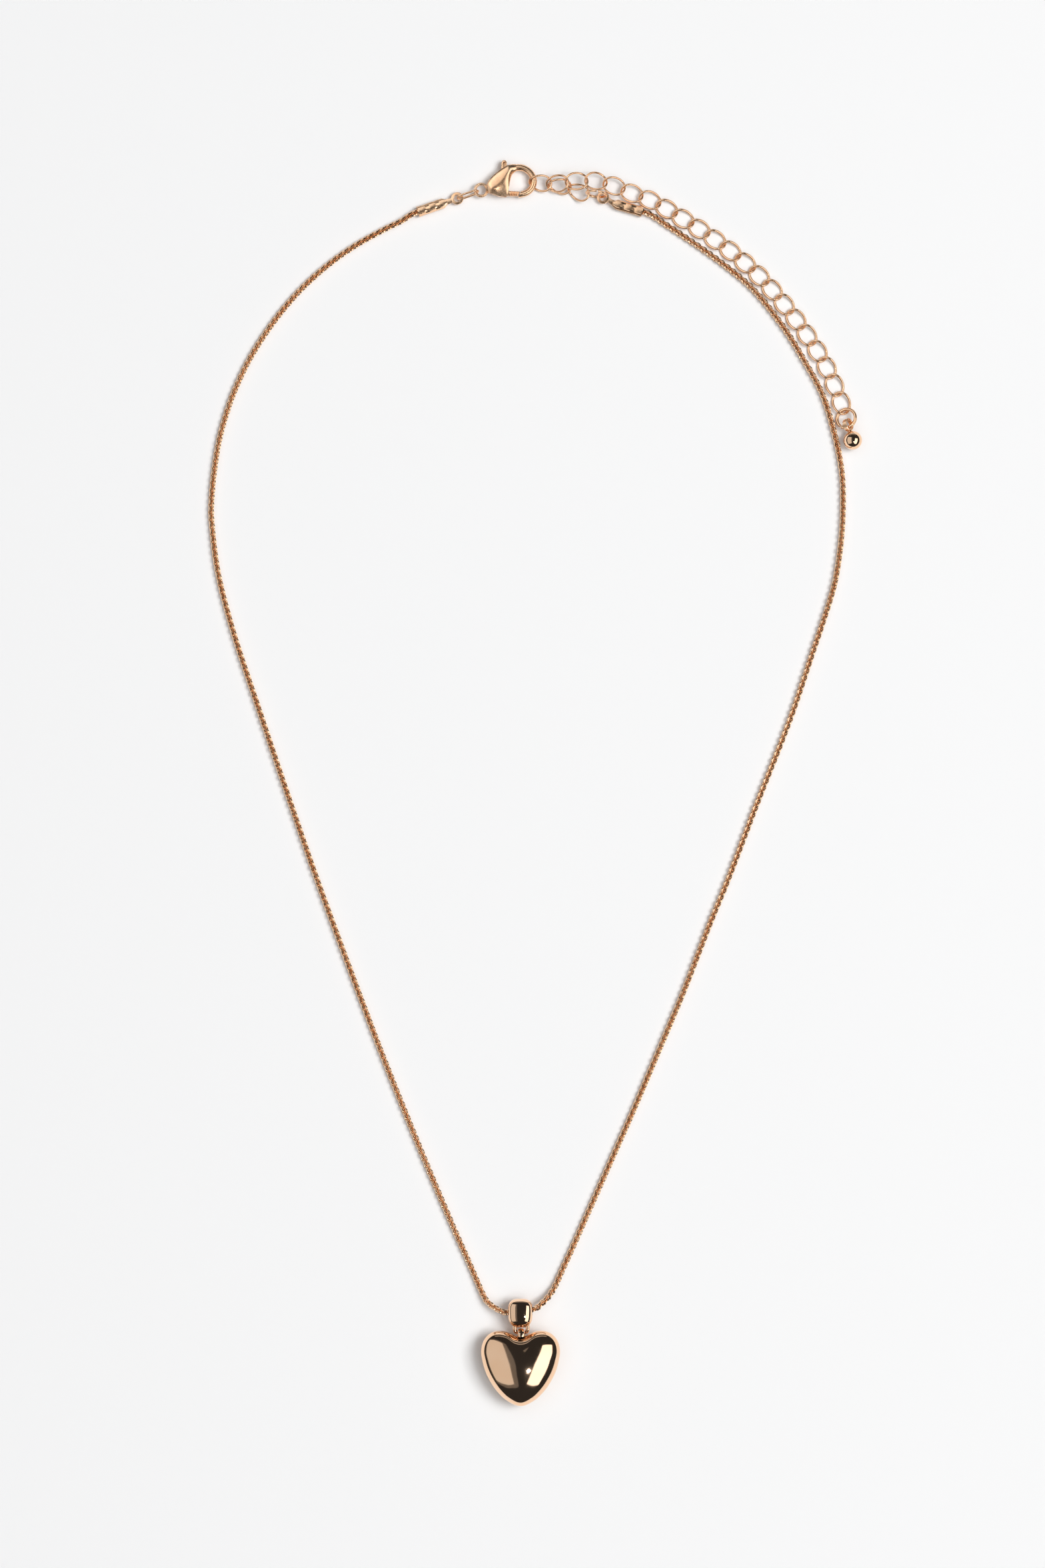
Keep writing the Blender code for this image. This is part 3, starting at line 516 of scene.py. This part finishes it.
HEART_AT = (-17.90, -87.14, 2.80)
HEART_OUTLINE = [
    (0, 4.25), (12, 4.60), (26, 5.72), (40, 6.50), (54, 6.68), (68, 6.37),
    (84, 5.75), (102, 5.32), (120, 5.15), (140, 5.28), (160, 5.68), (180, 6.09),
]
HEART_CROWN = 5.2
HEART_HALF_THICK = 2.80
RING_AT = (-17.80, -82.63, 2.45)
RING_POCKET = 1.35
HEART_BAR = (-17.80, -82.94, 2.60)


def heart_radius(angle):
    """Outline radius (mm) at an angle from the notch, read smoothly between points."""
    angle = abs(math.degrees(angle))
    table = HEART_OUTLINE
    points = ([(-table[1][0], table[1][1])] + table
              + [(360 - table[-2][0], table[-2][1])])
    for (a0, r0), (a1, r1), (a2, r2), (a3, r3) in zip(points, points[1:], points[2:],
                                                      points[3:]):
        if a1 <= angle <= a2:
            t = (angle - a1) / (a2 - a1)
            slope1 = (r2 - r0) / (a2 - a0) * (a2 - a1)
            slope2 = (r3 - r1) / (a3 - a1) * (a2 - a1)
            bend = 2 * (r1 - r2) + slope1 + slope2
            return (r1 + slope1 * t + (3 * (r2 - r1) - 2 * slope1 - slope2) * t * t
                    + bend * t ** 3)
    return table[-1][1]


def heart_solid(around=128, layers=56):
    """A puffed heart: level lines are hearts at the rim and round near the crown, and
    a valley runs in from the notch."""
    bm = bmesh.new()
    bmesh.ops.create_uvsphere(bm, u_segments=around, v_segments=layers, radius=1.0)
    for vert in bm.verts:
        x, y, z = vert.co
        out = math.hypot(x, y)
        angle = math.atan2(x, y) if out > 1e-6 else 0.0
        round_share = (1.0 - out) ** 1.4
        radius = (heart_radius(angle) * (1 - round_share)
                  + HEART_CROWN * round_share) * out
        vert.co = Vector((radius * math.sin(angle), radius * math.cos(angle),
                          z * HEART_HALF_THICK)) * MM
    bm.transform(at(HEART_AT))
    return bm


def u_of_wire(bm, bar, width, depth, wire, leg):
    """A wire bar along X with both legs, which may be thicker, bent back along Y."""
    side = width / 2
    turn = 0.25 * width * (-1 if depth < 0 else 1)
    points = smooth_curve([(-side, depth, 0), (-side, turn, 0), (-0.6 * side, 0, 0),
                           (0.6 * side, 0, 0), (side, turn, 0), (side, depth, 0)], 6)
    girth = [(wire + (leg - wire) * min(1.0, max(0.0, 2.5 * abs(p.x) / side - 1.5))) / 2 * MM
             for p in points]
    sweep(bm, [(Vector(bar) + p) * MM for p in points], girth, sides=14)


ACROSS = Matrix.Rotation(math.radians(90.0), 4, "Y")
bm = cut(heart_solid(), rod(RING_POCKET * MM, 1.10 * MM, at(RING_AT) @ ACROSS, 48))
u_of_wire(bm, HEART_BAR, 1.56, -1.5, 0.44, 0.44)
finish_piece("puffed_heart", bm, HEART_GOLD, "heart_gold", "heart", ["heart"], 50.0)

bm = bmesh.new()
sweep(bm, circle(0.80 * MM, 48), 0.20 * MM, closed=True, sides=20, matrix=at(RING_AT) @ ACROSS,
      squash=2.4)
finish_piece("heart_ring", bm, BAIL_GOLD, "bail_gold", "pendant_ring", ["pendant_ring"])


# ---------------------------------------------------------------- bail

BAIL_AT = (-17.93, -79.33, 2.30)
BAIL_HALF = (1.93, 2.12, 1.70)
BORE_AT = (-17.93, -79.07, 2.30)
BORE_TURN = 6.8
BAIL_FOOT = 0.93


BAIL_ROUNDNESS = 3.0


def bail_solid():
    """A puffed cushion, square in plan with wide round shoulders, drawn in at the foot."""
    bm = bmesh.new()
    bmesh.ops.create_cube(bm, size=2.0)
    bmesh.ops.subdivide_edges(bm, edges=bm.edges[:], cuts=23, use_grid_fill=True)
    for vert in bm.verts:
        x, y, z = vert.co.normalized()
        swell = sum(abs(c) ** BAIL_ROUNDNESS for c in (x, y, z)) ** (-1 / BAIL_ROUNDNESS)
        x, y, z = x * swell, y * swell, z * swell
        foot = 1.0 + (BAIL_FOOT - 1.0) * (0.5 - 0.5 * y)
        vert.co = Vector((x * foot * BAIL_HALF[0], y * BAIL_HALF[1],
                          z * foot * BAIL_HALF[2])) * MM
    bm.transform(at(BAIL_AT))
    return bm


bore = rod(0.95 * MM, 8 * MM, at(BORE_AT, BORE_TURN) @ ACROSS, 40)
bm = cut(bail_solid(), bore)
u_of_wire(bm, (-17.80, -82.32, 2.30), 1.92, 1.4, 0.40, 0.60)
join(bm, plate([(-18.65, -81.0), (-18.55, -81.52), (-17.05, -81.52), (-16.95, -81.0)],
               2.02, 2.58, 0.10))
finish_piece("bead_bail", bm, BAIL_GOLD, "bail_gold", "bail", ["bail"], 50.0)


# ---------------------------------------------------------------- cord ends

FOLD_START, FOLD_MOUTH = 1.65, 6.25
FOLD_HALF = 0.75
LOOP_RADIUS = 0.93
LOOP_HOLE = 0.52


def make_cord_end(name, node, place, turn, offset):
    """A strip of sheet with a pierced loop, folded round the chain and crimped: an open
    trough with one flap over it, dented by the pliers' teeth."""
    matrix = at(place, turn)

    def section(t):
        """Points round the folded strip at t from 0 (neck) to 1 (mouth)."""
        pinch = 1.0 - 0.04 * math.sin(9.0 * t + 1.0) ** 4 - 0.45 * max(0.0, 0.12 - t) / 0.12
        high = (0.70 - 0.05 * math.exp(-((t - 0.35) / 0.08) ** 2)
                - 0.05 * math.exp(-((t - 0.70) / 0.08) ** 2))
        outer = [(-FOLD_HALF, -0.30), (-0.55, -0.62), (0.0, -0.70), (0.55, -0.62),
                 (FOLD_HALF, -0.30), (FOLD_HALF, 0.22), (0.52, high * 0.86), (0.10, high),
                 (-0.38, high * 0.92), (-0.50, high * 0.70)]
        inner = [(-0.28, high * 0.50), (0.10, high * 0.62), (0.42, high * 0.50),
                 (0.55, 0.15), (0.55, -0.25), (0.38, -0.44), (0.0, -0.50),
                 (-0.38, -0.44), (-0.55, -0.25), (-0.60, 0.16), (-0.75, 0.16)]
        return [Vector((0, offset + y * pinch, z)) for y, z in outer + inner]

    bm = bmesh.new()
    rings = []
    steps = 40
    for k in range(steps + 1):
        t = k / steps
        x = FOLD_START + (FOLD_MOUTH - FOLD_START) * t
        flare = 1.0 + 0.03 * max(0.0, t - 0.9) / 0.1
        rings.append([bm.verts.new((x * MM, p.y * flare * MM, p.z * MM))
                      for p in section(t)])
    size = len(rings[0])
    for one, two in zip(rings, rings[1:]):
        for s in range(size):
            t = (s + 1) % size
            bm.faces.new((one[s], one[t], two[t], two[s]))
    bm.faces.new(rings[0])
    bm.faces.new(list(reversed(rings[-1])))

    disc = circle(LOOP_RADIUS, 48)
    neck = [(-0.10, 0.38), (0.70, 0.36), (1.20, offset * 0.6 + 0.38),
            (FOLD_START + 0.6, offset + 0.45), (FOLD_START + 0.6, offset - 0.45),
            (1.20, offset * 0.6 - 0.38), (0.70, -0.36), (-0.10, -0.38)]
    loop = cut(plate([(p.x, p.y) for p in disc], -0.17, 0.17, 0.07),
               rod(LOOP_HOLE * MM, 2 * MM, Matrix(), 40))
    strip = cut(plate(neck, -0.16, 0.16, 0.06), rod(0.60 * MM, 2 * MM, Matrix(), 40))
    join(bm, loop)
    join(bm, strip)
    bm.transform(matrix)
    return finish_piece(name, bm, CORD_END_GOLD, "cord_end_gold", "necklace", [node], 45.0)


make_cord_end("left_cord_end", "cord_end_left", (-27.38, 87.59, 0.70), 199.0, 0.0)
make_cord_end("right_cord_end", "cord_end_right", (-5.51, 87.72, 0.70), -15.9, -0.44)


# ---------------------------------------------------------------- clasp

CLASP_AT = (-23.79, 88.81, 1.0)
PIVOT = (2.90, 1.05)
PIN_RADIUS = 0.25
PIN_HOLE = 0.29
SPRING_WELL = 0.56
BASE_RING = 0.91
BASE_WIRE = 0.42
COIL_RADIUS = 0.42
COIL_WIRE = 0.12
COIL_TURNS = 1.75
# Each cross-section of the body: its upper-left edge, lower-right edge, ridge and the
# ridge's height.
CLASP_SECTIONS = [
    ((0.66, 0.52), (0.76, -0.40), (0.74, 0.05), 0.50),
    ((0.86, 0.88), (1.15, -0.44), (1.10, 0.08), 0.78),
    ((1.15, 1.42), (1.75, -0.62), (1.62, 0.12), 0.97),
    ((1.72, 2.08), (2.45, -0.88), (2.32, 0.42), 1.00),
    ((2.45, 2.70), (3.20, -1.02), (2.92, 0.92), 1.00),
    ((3.20, 3.24), (3.84, -0.90), (3.30, 1.45), 1.00),
    ((3.90, 3.62), (4.08, 0.00), (3.72, 2.05), 0.98),
    ((4.40, 3.78), (4.34, 1.40), (4.20, 2.62), 0.90),
    ((4.95, 3.88), (4.66, 2.30), (4.80, 3.08), 0.64),
    ((5.45, 3.84), (5.33, 2.88), (5.39, 3.36), 0.45),
]
HOOK_ROUTE = [
    (4.20, 3.02), (4.70, 3.22), (5.40, 3.38), (6.20, 3.33), (6.95, 2.98), (7.50, 2.42),
    (7.84, 1.72), (7.86, 1.00), (7.62, 0.34), (7.14, -0.18), (6.62, -0.48), (5.98, -0.65),
    (5.40, -0.68),
]
# Cuts the hook off at the slant of the gate's end.
HOOK_TRIM = [(6.04, 0.00), (5.54, -1.25), (4.60, -1.25), (4.60, 0.00)]
LEVER_OUTLINE = [
    (2.30, 1.10), (2.62, 1.72), (2.92, 2.60), (3.02, 3.60), (3.05, 4.08), (3.15, 4.34),
    (3.33, 4.46), (3.57, 4.46), (3.76, 4.32), (3.86, 4.05), (3.90, 3.30),
    (3.62, 2.30), (3.52, 1.50), (3.62, 0.70), (3.96, -0.16), (5.80, -0.24), (5.56, -0.93),
    (3.70, -0.90), (2.85, -0.10), (2.36, 0.50),
]
TAB_RECESS = [
    (3.24, 3.45), (3.22, 3.90), (3.30, 4.14), (3.46, 4.24), (3.62, 4.12), (3.70, 3.86),
    (3.70, 3.45), (3.46, 3.36),
]
SLOT_OUTLINE = [
    (2.15, 1.00), (2.10, 2.90), (1.90, 4.20), (4.05, 4.60), (4.05, 3.30), (3.90, 2.40),
    (4.30, 1.00), (6.60, 1.20), (6.60, 0.30), (5.94, -0.24), (5.70, -1.20),
    (3.60, -1.20), (2.70, -0.20), (2.20, 0.45),
]


def in_between(values, t):
    """The cross-section at t along the body, between the stated ones."""
    k = min(int(t), len(values) - 2)
    share = t - k
    ends = [values[max(k - 1, 0)], values[k], values[k + 1],
            values[min(k + 2, len(values) - 1)]]

    def blend(a, b, c, d):
        return 0.5 * (2 * b + (c - a) * share + (2 * a - 5 * b + 4 * c - d) * share ** 2
                      + (3 * b - a - 3 * c + d) * share ** 3)

    pairs = [tuple(blend(*(e[j][i] for e in ends)) for i in range(2)) for j in range(3)]
    return (*pairs, blend(*(e[3] for e in ends)))


def clasp_solid():
    """The cast body: a wide domed face on one side of the ridge, a steep bevel on the
    other, upright edges, and both ends drawn down to a round neck."""
    bm = bmesh.new()
    rings = []
    steps, across = 60, 8
    for k in range(steps + 1):
        t = (len(CLASP_SECTIONS) - 1) * k / steps
        left, right, ridge, high = in_between(CLASP_SECTIONS, t)
        neck = min(1.0, max(0.0, 0.8 - t, (t - 6.4) / 2.2))
        edge = 0.02 + (1.0 - neck) * min(0.62, 0.8 * high)
        top = []
        for j in range(2 * across + 1):
            share = math.sin(math.pi / 2 * (j / across - 1.0))
            side = left if share < 0 else right
            share = abs(share)
            dome = math.sqrt(max(0.0, 1.0 - share ** 2))
            if side is right:
                dome = neck * dome + (1.0 - neck) * (1.0 - share)
            top.append(([ridge[i] + (side[i] - ridge[i]) * share for i in range(2)],
                        edge + (high - edge) * dome))
        below = [(p, -z) for p, z in reversed(top)]
        rings.append([bm.verts.new((p[0] * MM, p[1] * MM, z * MM))
                      for p, z in top + below])
    size = len(rings[0])
    for one, two in zip(rings, rings[1:]):
        for s in range(size):
            t = (s + 1) % size
            bm.faces.new((one[s], one[t], two[t], two[s]))
    bm.faces.new(rings[0])
    bm.faces.new(list(reversed(rings[-1])))
    bmesh.ops.recalc_face_normals(bm, faces=bm.faces)
    return bm


clasp_matrix = at(CLASP_AT)
pivot_matrix = at((*PIVOT, 0.0))
bm = cut(clasp_solid(), plate(SLOT_OUTLINE, -0.48, 0.48),
         rod(PIN_HOLE * MM, 1.80 * MM, at((*PIVOT, -0.18))))
hook = smooth_curve([(x * MM, y * MM, 0.0) for x, y in HOOK_ROUTE], 6)
last = len(hook) - 1
girth = [0.53 * MM * (1.0 - 0.14 * (k / last) ** 0.4) for k in range(last + 1)]
arm = bmesh.new()
sweep(arm, hook, girth, sides=24)
join(bm, cut(arm, plate(HOOK_TRIM, -0.7, 0.7)))
sweep(bm, circle(BASE_RING * MM, 44), BASE_WIRE / 2 * MM, closed=True, sides=14)
bm.transform(clasp_matrix)
finish_piece("clasp_shell", bm, CLASP_GOLD, "clasp_gold", "clasp", ["clasp_body"], 28.0)

bm = cut(plate(LEVER_OUTLINE, -0.45, 0.45, 0.14),
         rod(PIN_HOLE * MM, 4 * MM, pivot_matrix),
         rod(SPRING_WELL * MM, 0.90 * MM, at((*PIVOT, -0.45))),
         plate(TAB_RECESS, -0.30, 0.60),
         *(rod(0.06 * MM, 0.9 * MM, at((4.45 + 0.26 * k, -0.56, 0.45), 70.0) @ ACROSS, 10)
           for k in range(5)))
bm.transform(clasp_matrix)
finish_piece("clasp_gate", bm, CLASP_GOLD, "clasp_gold", "clasp_lever", ["clasp_lever"], 35.0)

bm = bmesh.new()
sweep(bm, [(PIVOT[0] * MM, PIVOT[1] * MM, z * MM) for z in (-0.95, -0.90, 0.60, 0.66)],
      [0.20 * MM, PIN_RADIUS * MM, PIN_RADIUS * MM, 0.20 * MM], sides=24)
bm.transform(clasp_matrix)
finish_piece("clasp_pin", bm, CLASP_GOLD, "clasp_gold", "clasp", ["clasp_rivet"])

bm = bmesh.new()
coil = []
for k in range(64):
    angle = 2 * math.pi * COIL_TURNS * k / 63
    coil.append(((PIVOT[0] + COIL_RADIUS * math.cos(angle)) * MM,
                 (PIVOT[1] + COIL_RADIUS * math.sin(angle)) * MM, (-0.39 + 0.28 * k / 63) * MM))
sweep(bm, coil, COIL_WIRE / 2 * MM, sides=10)
bm.transform(clasp_matrix)
finish_piece("clasp_coil", bm, SPRING_STEEL, "spring_steel", "clasp", ["clasp_spring"])
